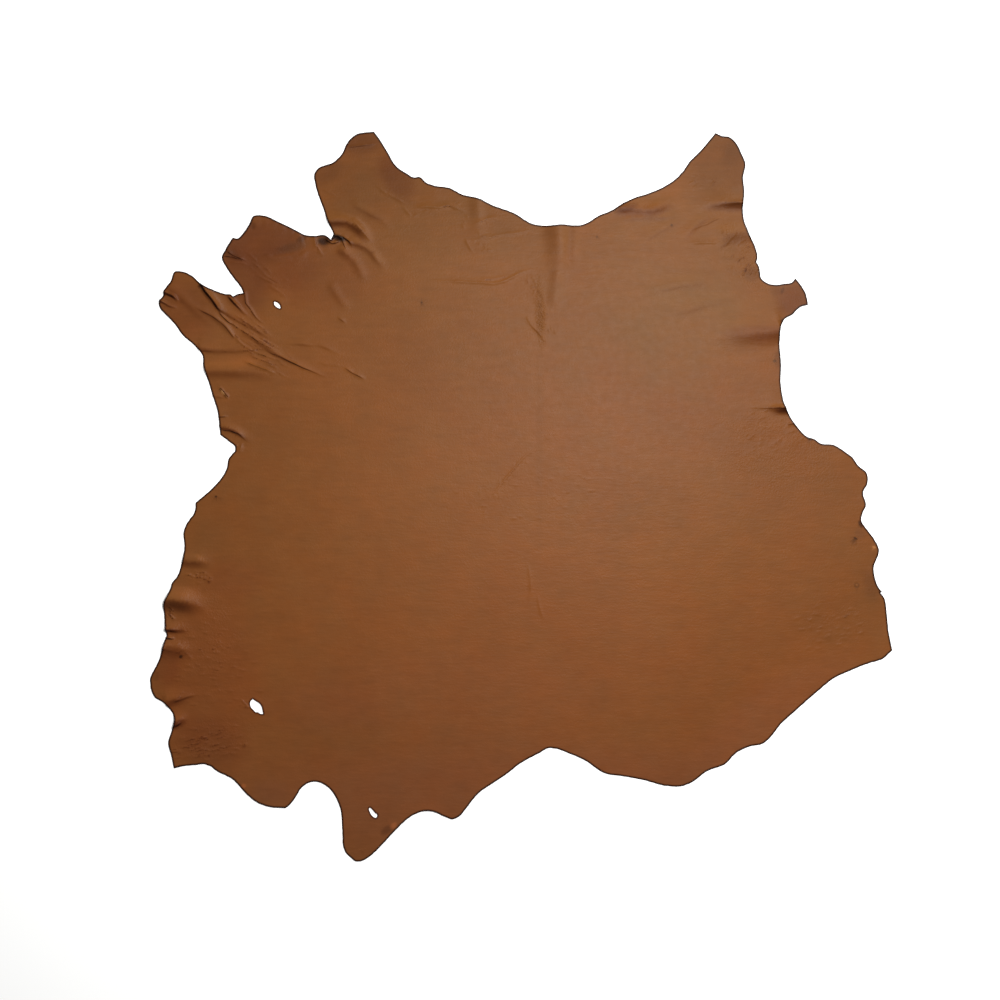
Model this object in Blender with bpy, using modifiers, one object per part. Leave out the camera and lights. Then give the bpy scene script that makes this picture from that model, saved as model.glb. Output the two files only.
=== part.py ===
"""A whole cattle hide of tan upholstery leather, laid flat with its grain side up.

Metres, +Z up. The neck end points along +Y, the tail end along -Y and the spine runs near X = 0. The
origin is under the middle of the hide's box, on the surface that it lies on.

The hide is one piece: a sheet cut along the animal's outline, with three flay holes. It lies flat, and
only its folds lift off the surface.
"""

import math

import bpy
import numpy as np
from mathutils.geometry import delaunay_2d_cdt
from mathutils.kdtree import KDTree

CM = 0.01
MM = 0.001

THICKNESS = 1.4 * MM
RIM_STEP = 2.5 * CM  # spacing of points along the cut edge
HOLE_STEP = 0.9 * CM  # and along a hole's edge
FOLD_STEP = 2.4 * CM  # spacing of points along a fold's crest
FLAT_STEP = 9.0 * CM  # spacing of points where the hide lies flat
CLEAR_OF_RIM = 1.0 * CM  # no inner point is nearer than this to the cut edge
CLEAR_OF_POINTS = 1.1 * CM  # nor than this to another one along the folds
CLEAR_ON_FLAT = 4.5 * CM  # nor than this on the flat
LEATHER_COLOUR = (0.27, 0.112, 0.045, 1.0)

CORNER = "corner"

# The cut edge, anticlockwise as seen from above, in centimetres: x, y, and whether the edge turns
# sharply there. It runs smoothly through every other point.
OUTLINE = {
    "left cheek": [
        (-48.1, 121.3), (-50.0, 123.9, CORNER), (-56.4, 122.7), (-58.9, 120.3), (-60.9, 116.3),
        (-63.3, 113.8), (-69.5, 110.8), (-70.3, 109.3), (-70.0, 106.5), (-66.9, 96.9), (-65.8, 93.6),
        (-64.3, 90.4), (-63.8, 89.2),
    ],
    "left armpit": [
        (-64.6, 87.0, CORNER), (-65.3, 87.8), (-66.4, 88.6), (-70.4, 88.4), (-73.6, 88.8),
    ],
    "upper left foreleg": [
        (-76.1, 90.1), (-82.5, 93.2), (-88.0, 95.4), (-91.0, 95.1), (-92.1, 92.8), (-94.0, 89.8),
        (-96.4, 87.9), (-97.9, 87.8), (-100.3, 84.1), (-101.7, 81.0), (-100.3, 77.9), (-97.6, 74.0),
        (-94.9, 70.3), (-94.4, 69.0, CORNER), (-96.2, 68.7), (-97.9, 67.9, CORNER), (-98.8, 68.6, CORNER),
        (-100.6, 68.7), (-103.4, 69.6),
    ],
    "lower left foreleg": [
        (-109.1, 72.4), (-111.9, 74.9), (-114.7, 76.2), (-117.8, 76.2), (-119.0, 73.2), (-121.4, 69.7),
        (-121.7, 68.1), (-123.1, 66.2), (-122.7, 63.9), (-121.0, 61.9), (-118.0, 58.8), (-114.7, 54.4),
        (-110.8, 51.0), (-108.3, 47.9),
    ],
    "left brisket": [
        (-107.9, 44.2), (-106.2, 38.8), (-104.3, 32.6), (-103.3, 29.6), (-102.5, 24.0),
        (-102.2, 20.8, CORNER), (-97.1, 16.9, CORNER), (-97.2, 15.3, CORNER), (-99.4, 12.6), (-100.0, 9.5),
        (-101.4, 6.8),
    ],
    "left belly": [
        (-105.4, 2.2), (-110.6, -2.2, CORNER), (-110.8, -4.8), (-113.9, -9.9), (-114.7, -12.2),
        (-114.4, -16.9), (-115.3, -22.8), (-117.0, -27.5), (-118.8, -29.9), (-119.0, -31.0), (-120.7, -34.7),
        (-121.5, -36.7), (-121.3, -40.0), (-120.9, -46.0, CORNER), (-120.4, -47.4, CORNER), (-121.0, -48.8),
        (-122.9, -55.3), (-124.9, -59.4), (-126.0, -61.7), (-126.0, -64.1), (-124.4, -68.5), (-122.0, -70.0),
        (-120.5, -71.3), (-119.0, -73.0), (-117.9, -75.3), (-118.6, -79.3), (-119.9, -83.9), (-119.0, -87.9),
    ],
    "left shank": [
        (-118.0, -92.6, CORNER), (-114.0, -91.7), (-111.1, -91.5), (-107.4, -91.2), (-105.2, -92.1),
        (-103.7, -93.3), (-98.3, -96.1), (-92.8, -101.8), (-90.2, -103.9), (-85.4, -105.7),
        (-80.1, -106.1, CORNER), (-79.1, -105.4), (-76.0, -101.4), (-75.0, -99.7), (-73.0, -97.9),
        (-70.0, -97.1), (-67.8, -97.6), (-65.6, -99.0), (-62.8, -102.7), (-61.7, -105.4), (-60.7, -114.9),
        (-60.4, -119.3), (-59.7, -121.1), (-57.8, -123.0), (-56.2, -124.2), (-54.5, -124.2), (-52.6, -123.3),
        (-46.8, -118.1), (-43.4, -114.4), (-35.7, -108.0), (-33.4, -107.2), (-30.9, -107.1), (-25.5, -109.2),
        (-23.6, -109.9), (-21.5, -109.2), (-18.4, -105.9), (-16.4, -103.2), (-13.8, -100.5), (-9.8, -97.8),
        (-4.1, -93.9),
    ],
    "rump": [
        (-0.7, -91.2), (3.2, -88.9), (6.7, -87.1), (9.4, -85.7), (11.5, -85.8), (16.3, -87.5), (21.4, -89.7),
        (28.9, -94.4), (34.3, -95.2), (41.5, -96.5), (49.3, -98.5), (54.7, -98.6), (57.1, -97.8),
    ],
    "right shank": [
        (63.7, -93.3), (69.4, -91.1), (73.2, -87.3), (77.5, -85.2), (82.5, -84.0), (84.2, -82.6),
        (88.6, -77.2), (93.8, -72.5), (100.8, -66.4), (106.4, -61.9), (112.0, -59.3), (118.3, -56.8),
        (122.8, -55.4), (126.2, -52.4, CORNER),
    ],
    "right belly": [
        (124.9, -45.9), (124.3, -39.8), (123.2, -34.2), (122.1, -32.9, CORNER), (122.7, -32.5, CORNER),
        (121.9, -31.6), (120.0, -26.5), (119.9, -24.1), (121.4, -20.1), (121.7, -18.6), (120.6, -15.6),
        (117.8, -11.6), (115.7, -8.3), (116.1, -5.8), (117.2, -3.4), (116.3, 1.3), (117.8, 4.4),
        (117.5, 7.8), (114.7, 10.3), (112.6, 13.3, CORNER), (105.7, 17.5), (101.8, 17.9), (99.8, 19.3),
        (97.2, 20.2),
    ],
    "right brisket": [
        (94.5, 22.8), (92.5, 25.4), (90.0, 30.1), (88.3, 38.1), (88.4, 45.2), (87.9, 52.0), (88.7, 58.5),
        (89.7, 60.2),
    ],
    "right foreleg stub": [
        (92.0, 61.5), (95.1, 64.3), (97.6, 65.0, CORNER), (96.7, 69.0), (95.1, 71.7), (93.3, 74.0, CORNER),
        (92.0, 72.6), (89.7, 72.2), (86.5, 71.8), (83.3, 72.6), (81.5, 74.3), (81.3, 75.5), (80.9, 78.0),
        (80.0, 79.6, CORNER),
    ],
    "right cheek": [
        (80.4, 81.2), (79.8, 84.1), (77.3, 89.6), (75.7, 94.3), (75.4, 98.3), (75.9, 103.5), (75.5, 108.4),
        (76.3, 113.0), (75.0, 116.3), (72.7, 120.5), (70.7, 122.1), (68.4, 122.4), (66.1, 123.4, CORNER),
        (60.0, 116.3), (57.5, 113.9), (54.9, 110.2), (52.2, 107.5), (49.0, 105.4),
    ],
    "neck": [
        (42.8, 102.7), (38.9, 101.5), (35.0, 99.7), (30.6, 97.0), (26.4, 95.3), (22.1, 92.7), (20.6, 92.2),
        (13.6, 92.3), (8.5, 91.9), (4.1, 92.5), (-2.4, 96.2), (-10.2, 99.1), (-13.9, 101.0),
        (-20.4, 102.7), (-24.5, 104.8), (-28.9, 105.4), (-32.0, 106.4), (-34.7, 108.5), (-36.2, 108.3),
        (-39.1, 109.8), (-42.5, 112.2), (-45.2, 116.6),
    ],
}

# Flay holes: middle x, y, then the hole's edge about that middle, clockwise, all in centimetres.
HOLES = {
    "left shank hole": ((-89.8, -71.6), [
        (-1.4, 2.6, CORNER), (0.0, 1.7), (0.8, 1.2), (1.5, 0.3), (2.0, -1.4), (2.2, -2.5, CORNER),
        (1.1, -2.4), (0.4, -1.9), (-0.3, -1.9), (-1.2, -1.1), (-2.0, -0.2), (-2.3, 0.9), (-2.2, 1.7),
    ]),
    "left foreleg hole": ((-82.9, 64.9), [
        (-1.0, 1.1), (0.2, 0.8), (1.0, -0.2), (1.1, -1.1), (-0.1, -0.7), (-0.9, 0.1),
    ]),
    "lower left shank hole": ((-50.3, -107.7), [
        (-1.2, 1.7), (-0.1, 0.9), (0.8, -0.1), (1.4, -0.5), (1.3, -1.3), (0.9, -1.7), (0.2, -1.4),
        (-0.7, -0.5), (-1.1, 0.4), (-1.4, 1.2),
    ]),
}

# Folds, each a rounded ridge: half width in centimetres, height in millimetres, whether it fades out at
# both ends or runs out over the cut edge at its start, and its crest's points in centimetres.
FOLDS = {
    # name: (half width, height, ends, crest)
    "neck ridge": (6.5, 6.0, "far end", [(12.5, 94.0), (13.2, 80.0), (14.2, 75.0), (13.4, 61.0)]),
    "foreleg ridge 1": (2.6, 9.0, "far end", [
        (-109.5, 74.0), (-101.7, 63.9), (-94.2, 59.5), (-88.1, 56.1), (-80.9, 51.3),
    ]),
    "foreleg ridge 2": (2.4, 8.0, "both ends", [
        (-101.0, 62.0), (-94.2, 56.4), (-86.4, 52.0), (-81.6, 48.3), (-73.8, 44.2), (-63.0, 40.0),
    ]),
    "foreleg ridge 3": (2.6, 7.0, "both ends", [(-112.0, 66.2), (-102.3, 60.2), (-96.6, 52.8)]),
    "foreleg ridge 4": (2.2, 6.0, "far end", [(-99.6, 69.5), (-94.5, 63.6), (-88.0, 57.6)]),
    "foreleg ridge 5": (2.0, 4.0, "both ends", [(-93.6, 67.4), (-91.1, 62.9), (-86.5, 58.3)]),
    "shoulder ridge 1": (3.4, 7.0, "far end", [
        (-109.5, 50.4), (-100.6, 50.3), (-88.1, 51.0), (-71.4, 52.2), (-57.5, 46.6),
    ]),
    "shoulder ridge 2": (4.4, 8.0, "far end", [(-109.0, 43.0), (-98.0, 42.8), (-78.0, 40.6)]),
    "upper foreleg fold": (4.2, 7.0, "far end", [
        (-102.5, 82.8), (-92.1, 79.6), (-81.3, 82.6), (-68.0, 85.4),
    ]),
    "armpit ridge 1": (2.6, 4.0, "both ends", [(-59.2, 87.6), (-53.0, 85.4), (-47.6, 79.1), (-45.3, 75.6)]),
    "armpit ridge 2": (3.3, 4.5, "both ends", [(-62.5, 85.2), (-56.8, 80.1), (-51.6, 71.8)]),
    "armpit ridge 3": (3.6, 9.0, "far end", [(-67.0, 94.7), (-60.0, 94.7), (-55.0, 92.1), (-50.4, 84.4)]),
    "armpit ridge 4": (2.7, 3.0, "both ends", [(-58.5, 100.0), (-52.8, 97.3), (-47.5, 94.1), (-44.0, 88.5)]),
    "cheek swell": (5.0, 8.5, "far end", [(77.0, 99.5), (67.0, 99.5), (58.0, 97.4)]),
    "lower cheek swell": (6.0, 8.0, "far end", [(79.0, 90.5), (65.0, 88.8)]),
    "neck edge swell": (3.6, 7.0, "both ends", [(29.5, 97.0), (37.1, 98.0), (43.9, 99.2), (55.0, 101.7)]),
    "right shoulder swell": (7.0, 11.0, "far end", [(90.0, 56.1), (79.6, 55.5), (64.0, 54.8)]),
    "right brisket pleat": (2.6, 10.0, "far end", [(91.5, 30.8), (86.0, 30.4), (79.5, 30.2)]),
    "left brisket pleat": (3.0, 6.0, "far end", [(-103.5, 23.2), (-95.7, 21.1), (-89.5, 16.5)]),
    "left brisket pucker": (2.2, 5.0, "far end", [(-104.0, 27.6), (-97.5, 26.6)]),
    "belly wave 1": (4.5, 10.5, "far end", [(-116.0, -20.4), (-104.0, -21.0)]),
    "belly wave 2": (6.0, 12.0, "far end", [(-123.0, -34.8), (-112.0, -36.1), (-104.0, -37.3)]),
    "belly wave 3": (2.8, 8.0, "far end", [(-122.5, -44.9), (-111.5, -45.6)]),
    "belly wave 4": (4.5, 8.0, "far end", [(-124.5, -50.6), (-110.0, -52.1)]),
    "belly wave 5": (3.8, 6.0, "far end", [(-121.5, -70.6), (-107.4, -66.0)]),
    "belly wave 6": (2.6, 6.0, "far end", [(-119.5, -77.8), (-111.5, -75.0)]),
}
FADE = 0.55  # the share of a fold's length over which a fading end comes down
CREST_STEP = 0.5 * CM  # spacing of the crest's points that a place's distance is measured to
FOLD_ROWS = (0, -0.5, 0.5, -1, 1)  # where rows of points run along a fold, as shares of its half width
SAME_PLACE = 1e-6  # points nearer than this, in metres, count as one


def smooth_loop(points, step):
    """Points about step apart along a closed curve through the given ones, turning sharply at corners."""
    places = np.array([point[:2] for point in points]) * CM
    sharp = [CORNER in point for point in points]
    after = np.roll(places, -1, axis=0) - places
    length = np.linalg.norm(after, axis=1)
    onward = after / length[:, None]
    before = np.roll(onward, 1, axis=0)
    share = (length / (length + np.roll(length, 1)))[:, None]
    heading = onward * (1 - share) + before * share
    curve = []
    for i, start in enumerate(places):
        j = (i + 1) % len(places)
        leave = onward[i] if sharp[i] else heading[i]
        arrive = onward[i] if sharp[j] else heading[j]
        for t in np.arange(0, 1, 1 / max(1, round(length[i] / step))):
            curve.append(
                (2 * t**3 - 3 * t**2 + 1) * start
                + (3 * t**2 - 2 * t**3) * places[j]
                + length[i] * ((t**3 - 2 * t**2 + t) * leave + (t**3 - t**2) * arrive)
            )
    return np.array(curve)


def rim_loop():
    return smooth_loop([point for stretch in OUTLINE.values() for point in stretch], RIM_STEP)


def hole_loops():
    for (x, y), edge in HOLES.values():
        yield smooth_loop([(x + point[0], y + point[1], *point[2:]) for point in edge], HOLE_STEP)


def crest_line(crest, step):
    """Points about step apart along a fold's crest, and the share of its length at each."""
    corners = np.array(crest) * CM
    run = np.concatenate([[0], np.cumsum(np.linalg.norm(np.diff(corners, axis=0), axis=1))])
    along = np.linspace(0, run[-1], max(2, round(run[-1] / step) + 1))
    places = np.stack([np.interp(along, run, corners[:, axis]) for axis in (0, 1)], axis=1)
    return places, along / run[-1]


def lift(places):
    """The height of the hide's underside over the surface at each place: the highest fold there."""
    height = np.zeros(len(places))
    for half_width, peak, ends, crest in FOLDS.values():
        line, share = crest_line(crest, CREST_STEP)
        apart = np.linalg.norm(places[:, None] - line[None], axis=2)
        nearest = apart.argmin(axis=1)
        across = np.clip(apart.min(axis=1) / (half_width * CM), 0, 1)
        along = share[nearest]
        fade = np.clip((1 - along) / FADE, 0, 1)
        if ends == "both ends":
            fade = np.minimum(fade, np.clip(along / FADE, 0, 1))
        rise = peak * MM * (0.5 + 0.5 * np.cos(math.pi * across)) * (3 * fade**2 - 2 * fade**3)
        height = np.maximum(height, rise)
    return height


def inside(places, loop):
    """Whether each place is inside a closed loop of points."""
    x, y = places[:, 0, None], places[:, 1, None]
    start, end = loop, np.roll(loop, -1, axis=0)
    spans = (start[:, 1] > y) != (end[:, 1] > y)
    rise = np.where(start[:, 1] == end[:, 1], 1, end[:, 1] - start[:, 1])
    crossing = start[:, 0] + (y - start[:, 1]) * (end[:, 0] - start[:, 0]) / rise
    return (spans & (x < crossing)).sum(axis=1) % 2 == 1


def fold_places():
    """Rows of places along every crest and down both of its sides."""
    for half_width, _, _, crest in FOLDS.values():
        line, _ = crest_line(crest, FOLD_STEP)
        heading = np.gradient(line, axis=0)
        sideways = np.stack([-heading[:, 1], heading[:, 0]], axis=1)
        sideways /= np.linalg.norm(sideways, axis=1)[:, None]
        for share in FOLD_ROWS:
            yield from line + share * half_width * CM * sideways


def flat_places(low, high):
    """Rows of places over the whole hide, each row set half a step from the last."""
    rows = np.arange(low[1], high[1], FLAT_STEP * math.sqrt(0.75))
    for number, y in enumerate(rows):
        for x in np.arange(low[0] + FLAT_STEP * (number % 2) / 2, high[0], FLAT_STEP):
            yield (x, y)


def keep_apart(wanted, clear, kept):
    """Adds each wanted place to kept that is no nearer than clear to any already there."""
    for place in wanted:
        if not len(kept) or np.min(np.linalg.norm(np.array(kept) - place, axis=1)) >= clear:
            kept.append(place)


def inner_places(rim, holes):
    on_edges = np.concatenate([rim, *holes])
    edges = KDTree(len(on_edges))
    for index, place in enumerate(on_edges):
        edges.insert((*place, 0), index)
    edges.balance()

    def on_leather(places):
        places = np.array(list(places))
        free = inside(places, rim)
        for hole in holes:
            free &= ~inside(places, hole)
        free &= np.array([edges.find((*place, 0))[2] >= CLEAR_OF_RIM for place in places])
        return places[free]

    kept = []
    keep_apart(on_leather(fold_places()), CLEAR_OF_POINTS, kept)
    keep_apart(on_leather(flat_places(rim.min(axis=0), rim.max(axis=0))), CLEAR_ON_FLAT, kept)
    return np.array(kept)


def hide_mesh():
    """The hide's underside: an open mesh of triangles, at rest on the surface and raised along its folds."""
    rim = rim_loop()
    holes = list(hole_loops())
    inner = inner_places(rim, holes)
    places = np.concatenate([rim, *holes, inner])
    edges, first = [], 0
    for loop in (rim, *holes):
        edges += [(first + i, first + (i + 1) % len(loop)) for i in range(len(loop))]
        first += len(loop)
    within_the_rim = 1
    flat, _, faces, *_ = delaunay_2d_cdt(places.tolist(), edges, [], within_the_rim, SAME_PLACE)
    flat = np.array([tuple(place) for place in flat])
    faces = np.array(faces)
    for hole in holes:
        faces = faces[~inside(flat[faces].mean(axis=1), hole)]
    middle = (rim.min(axis=0) + rim.max(axis=0)) / 2
    points = np.column_stack([flat - middle, lift(flat)])
    mesh = bpy.data.meshes.new("leather_hide")
    mesh.from_pydata(points.tolist(), [], faces.tolist())
    return mesh


def leather_material():
    leather = bpy.data.materials.new("hide_leather")
    leather.use_nodes = True
    surface = leather.node_tree.nodes["Principled BSDF"]
    surface.inputs["Base Color"].default_value = LEATHER_COLOUR
    surface.inputs["Roughness"].default_value = 0.55
    surface.inputs["Metallic"].default_value = 0.0
    return leather


def main():
    for leftover in list(bpy.data.objects):
        bpy.data.objects.remove(leftover)
    collection = bpy.data.collections.new("leather hide")
    bpy.context.scene.collection.children.link(collection)

    hide = bpy.data.objects.new("leather_hide", hide_mesh())
    hide.data.materials.append(leather_material())
    hide.data.shade_smooth()
    body = hide.modifiers.new("thickness", "SOLIDIFY")
    body.thickness = THICKNESS
    body.offset = 1
    collection.objects.link(hide)


main()
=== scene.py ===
"""A whole cattle hide of tan upholstery leather, laid flat on a pale floor with its grain side up.

Metres, +Z up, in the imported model's own frame. The neck end points along +Y and the spine runs near
X = 0. The hide is one closed sheet of even thickness, whose folds and creases lift it off the floor.
The tables' places, in centimetres, are measured from a point near the middle of the back, and the whole
is then shifted so that the hide's box is centred on the frame's origin.
"""

import math

import bpy
import numpy as np
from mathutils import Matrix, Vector, noise
from mathutils.geometry import delaunay_2d_cdt
from mathutils.kdtree import KDTree


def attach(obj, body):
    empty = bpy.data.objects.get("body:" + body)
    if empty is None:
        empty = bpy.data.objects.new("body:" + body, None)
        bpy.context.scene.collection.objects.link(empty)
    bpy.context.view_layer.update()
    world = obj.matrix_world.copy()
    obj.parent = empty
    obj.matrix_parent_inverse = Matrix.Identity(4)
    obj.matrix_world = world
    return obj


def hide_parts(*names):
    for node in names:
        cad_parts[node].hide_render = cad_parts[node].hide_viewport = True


CM = 0.01
MM = 0.001

THICKNESS = 1.4 * MM
CUT_WAVES = (0.5 * MM, 1.3 * CM, 9)  # the knife's small waves along the cut edge: depth, length, seed
BEVEL = 0.25 * CM  # how far in from the cut edge the grain side starts to round over
BEVEL_DROP = 0.35 * MM
SHARP_EDGE = math.radians(76)  # edges that turn further than this are shaded sharp
# Gentle random waves: their height, how many there are to a metre, and a number that tells them apart.
SWELL = (0.5 * MM, 2.4, 0)  # over the whole sheet
RUFFLE = (2.4 * MM, 9, 3)  # near the cut edge
RUFFLE_REACH = 7 * CM

EDGE_DYE_AND_SHADE = 0.75 * CM  # how far in the dark band along the cut edge reaches: partly the edge's darker dye, partly painted shade
EDGE_DARKENING = 0.92
HOLE_NARROWING = 1.6  # around a hole the dark band of dye and painted shade, and the rounding, are narrower by this factor
# Painted shade darkens the colour on the steep side of a fold or crease, and a painted highlight lightens it
# where the gentle side rises to the crest: by how much at most, and the leans, as slopes, where that starts
# and where it is full.
FOLD_PAINTED_SHADE = (0.95, 0.04, 0.85)
CREASE_PAINTED_SHADE = (0.93, 0.2, 1.6)
FOLD_PAINTED_HIGHLIGHT = (0.07, 0.05, 0.3)
CREASE_PAINTED_HIGHLIGHT = (0.15, 0.3, 1.2)
SHADE_POWERS = (1.0, 1.35, 1.5)  # the painted shade and the dark edge band are redder: the powers of the shade in red, green and blue
FADING = 1.6  # a patch of colour is full up to 1 - 1 / 1.6 of the way to its edge

# A crest wanders sideways by a share of its steep side, and its height varies by a share, in waves that
# are this many times as long as its gentle side is wide.
FOLD_DRIFT, CREASE_DRIFT, DRIFT_WAVE = 0.1, 0.2, 3
UNEVEN_HEIGHT, HEIGHT_WAVE = 0.25, 2
FIRST_CREASE = 100  # creases are numbered from here, so that they don't wander as the folds do
CREST_STEP = 0.2 * CM  # least spacing of the points of a crest that places are measured from

# Spacing of the mesh's points: along edges, along ridges, over small stains as a share of their half
# widths, near creases and on the flat.
RIM_STEP, HOLE_STEP = 0.55 * CM, 0.3 * CM
CREASE_STEP, FOLD_STEP = 0.55 * CM, 1.2 * CM
STAIN_STEP = 0.3
NEAR_STEP, FAR_STEP = 0.85 * CM, 1.9 * CM
NEAR = 2.6 * CM  # how far from a crease counts as near it
SMALL_STAIN = 0.5 * FAR_STEP  # a stain with a wider spacing than this needs no points of its own
# Where rows of points run along a ridge, as shares of each side's width, and when a steep side is wide.
STEEP_ROWS, WIDE_ROWS, GENTLE_ROWS = (1 / 2, 1), (1 / 3, 2 / 3, 1), (1 / 4, 1 / 2, 1)
WIDE = 0.7 * CM
CLEAR_OF_RIM, CLEAR_OF_POINTS = 0.3 * CM, 0.22 * CM
LEAST_STEP = 1.1 * CLEAR_OF_POINTS
CLEAR_IN_FOLDS, CLEAR_IN_GRID, CLEAR_IN_ROWS = 0.5, 0.6, 0.8  # as shares of the spacing
SAME_PLACE = 1e-7

TANS = ((0.111, 0.0355, 0.0078, 1), (0.1045, 0.0368, 0.0092, 1))
FLESH = (0.2, 0.115, 0.06, 1)
CUT_FIBRE = (0.04, 0.014, 0.006, 1)
NOISE_RANGE = (0.3, 0.7)  # most of a noise texture's values lie in this range
NOISE_ROUGHNESS = 0.55

PALE_FLOOR = (0.88, 0.88, 0.87, 1)
FLOOR_SIZE, FLOOR_GAP = 16, 0.4 * MM
SKYLIGHT = 0.47
LIGHTS = {
    # name: (place, what it faces, size, watts)
    "key light": ((2.72, 4.36, 6.13), (0, 0, 0), 2.2, 470),
    "top light": ((0.5, 0.6, 3), (0.5, 0.6, 0), 1.4, 118),
}
VIEW_MIDDLE, VIEW_WIDTH = (-0.0719, -0.0116), 3.4

CORNER = "corner"

# The cut edge, anticlockwise as seen from above, in centimetres: x, y, and whether the edge turns
# sharply there. It runs smoothly through every other point.
OUTLINE = {
    "left cheek": [
        (-48.1, 121.3), (-50, 123.9, CORNER), (-56.4, 122.7), (-58.9, 120.3), (-60.9, 116.3), (-63.3, 113.8),
        (-69.5, 110.8), (-70.3, 109.3), (-70, 106.5), (-66.9, 96.9), (-65.8, 93.6), (-64.3, 90.4),
        (-63.8, 89.2),
    ],
    "left armpit": [(-64.6, 87, CORNER), (-65.3, 87.8), (-66.4, 88.6), (-70.4, 88.4), (-73.6, 88.8)],
    "upper left foreleg": [
        (-76.1, 90.1), (-82.5, 93.2), (-88, 95.4), (-91, 95.1), (-92.1, 92.8), (-94, 89.8), (-96.6, 87.5),
        (-97.9, 87.8, CORNER), (-100.3, 84.1), (-101.7, 81), (-100.3, 77.9), (-97.6, 74), (-94.9, 70.3),
        (-94.4, 69, CORNER), (-96.2, 68.7), (-97.9, 67.9, CORNER), (-98.8, 68.6, CORNER), (-100.6, 68.7),
        (-103.4, 69.6),
    ],
    "lower left foreleg": [
        (-109.1, 72.4), (-111.9, 74.9), (-114.7, 76.2), (-117.8, 76.2), (-119, 73.2), (-121.4, 69.7),
        (-121.7, 68.1), (-123.1, 66.2), (-122.7, 63.9), (-121, 61.9), (-118, 58.8), (-114.7, 54.4),
        (-110.8, 51), (-108.3, 47.9),
    ],
    "left brisket": [
        (-107.9, 44.2), (-106.2, 38.8), (-104.3, 32.6), (-103.3, 29.6), (-102.5, 24), (-102.2, 20.8, CORNER),
        (-97.1, 16.9, CORNER), (-97.2, 15.3, CORNER), (-99.4, 12.6), (-100, 9.5), (-101.4, 6.8),
    ],
    "left belly": [
        (-105.4, 2.2), (-110.6, -2.2, CORNER), (-110.8, -4.8), (-113.9, -9.9), (-114.7, -12.2),
        (-114.4, -16.9), (-115.3, -22.8), (-117, -27.5), (-118.8, -29.9), (-119, -31), (-120.7, -34.7),
        (-121.5, -36.7), (-121.3, -40), (-120.9, -46, CORNER), (-120.4, -47.4, CORNER), (-121, -48.8),
        (-122.9, -55.3), (-124.9, -59.4), (-126, -61.7), (-126, -64.1), (-124.4, -68.5), (-122, -70),
        (-120.5, -71.3), (-119, -73), (-117.9, -75.3), (-118.6, -79.3), (-119.9, -83.9), (-119, -87.9),
    ],
    "left shank": [
        (-118, -92.6, CORNER), (-114, -91.7), (-111.1, -91.5), (-107.4, -91.2), (-105.2, -92.1),
        (-103.7, -93.3), (-98.3, -96.1), (-92.8, -101.8), (-90.2, -103.9), (-85.4, -105.7),
        (-80.1, -106.1, CORNER), (-79.1, -105.4), (-76, -101.4), (-75, -99.7), (-73, -97.9), (-70, -97.1),
        (-67.8, -97.6), (-65.6, -99), (-62.8, -102.7), (-61.7, -105.4), (-60.7, -114.9), (-60.4, -119.3),
        (-59.7, -121.1), (-57.8, -123), (-56.2, -124.2), (-54.5, -124.2), (-52.6, -123.3), (-46.8, -118.1),
        (-43.4, -114.4), (-35.7, -108), (-33.4, -107.2), (-30.9, -107.1), (-25.5, -109.2), (-23.6, -109.9),
        (-21.5, -109.2), (-18.4, -105.9), (-16.4, -103.2), (-13.8, -100.5), (-9.8, -97.8), (-4.1, -93.9),
    ],
    "rump": [
        (-0.7, -91.2), (3.2, -88.9), (6.7, -87.1), (9.4, -85.7), (11.5, -85.8), (16.3, -87.5), (21.4, -89.7),
        (28.9, -94.4), (34.3, -95.2), (41.5, -96.5), (49.3, -98.5), (54.7, -98.6), (57.1, -97.8),
    ],
    "right shank": [
        (63.7, -93.3), (69.4, -91.1), (73.2, -87.3), (77.5, -85.2), (82.5, -84), (84.2, -82.6), (88.6, -77.2),
        (93.8, -72.5), (100.8, -66.4), (106.4, -61.9), (112, -59.3), (118.3, -56.8), (122.8, -55.4),
        (126.2, -52.4, CORNER),
    ],
    "right belly": [
        (124.9, -45.9), (124.3, -39.8), (123.2, -34.2), (122.1, -32.9, CORNER), (122.7, -32.5, CORNER),
        (121.9, -31.6), (120, -26.5), (119.9, -24.1), (121.4, -20.1), (121.7, -18.6), (120.6, -15.6),
        (117.8, -11.6), (115.7, -8.3), (116.1, -5.8), (117.2, -3.4), (116.3, 1.3), (117.8, 4.4), (117.5, 7.8),
        (114.7, 10.3), (112.6, 13.3, CORNER), (105.7, 17.5), (101.8, 17.9), (99.8, 19.3), (97.2, 20.2),
    ],
    "right brisket": [
        (94.5, 22.8), (92.5, 25.4), (90, 30.1), (88.3, 38.1), (88.4, 45.2), (87.9, 52), (88.7, 58.5),
        (89.7, 60.2),
    ],
    "right foreleg stub": [
        (92, 61.5), (95.1, 64.3), (97.6, 65, CORNER), (96.7, 69), (95.1, 71.7), (93.3, 74, CORNER),
        (92, 72.6), (89.7, 72.2), (86.5, 71.8), (83.3, 72.6), (81.5, 74.3), (81.3, 75.5), (80.9, 78),
        (80, 79.6, CORNER),
    ],
    "right cheek": [
        (80.4, 81.2), (79.8, 84.1), (77.3, 89.6), (75.7, 94.3), (75.4, 98.3), (75.9, 103.5), (75.5, 108.4),
        (76.3, 113), (75, 116.3), (72.7, 120.5), (70.7, 122.1), (68.4, 122.4), (66.1, 123.4, CORNER),
        (60, 116.3), (57.5, 113.9), (54.9, 110.2), (52.2, 107.5), (49, 105.4),
    ],
    "neck": [
        (42.8, 102.7), (38.9, 101.5), (35, 99.7), (30.6, 97), (26.4, 95.3), (22.1, 92.7), (20.6, 92.2),
        (13.6, 92.3), (8.5, 91.9), (4.1, 92.5), (-2.4, 96.2), (-10.2, 99.1), (-13.9, 101), (-20.4, 102.7),
        (-24.5, 104.8), (-28.9, 105.4), (-32, 106.4), (-34.7, 108.5), (-36.2, 108.3), (-39.1, 109.8),
        (-42.5, 112.2), (-45.2, 116.6),
    ],
}

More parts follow.
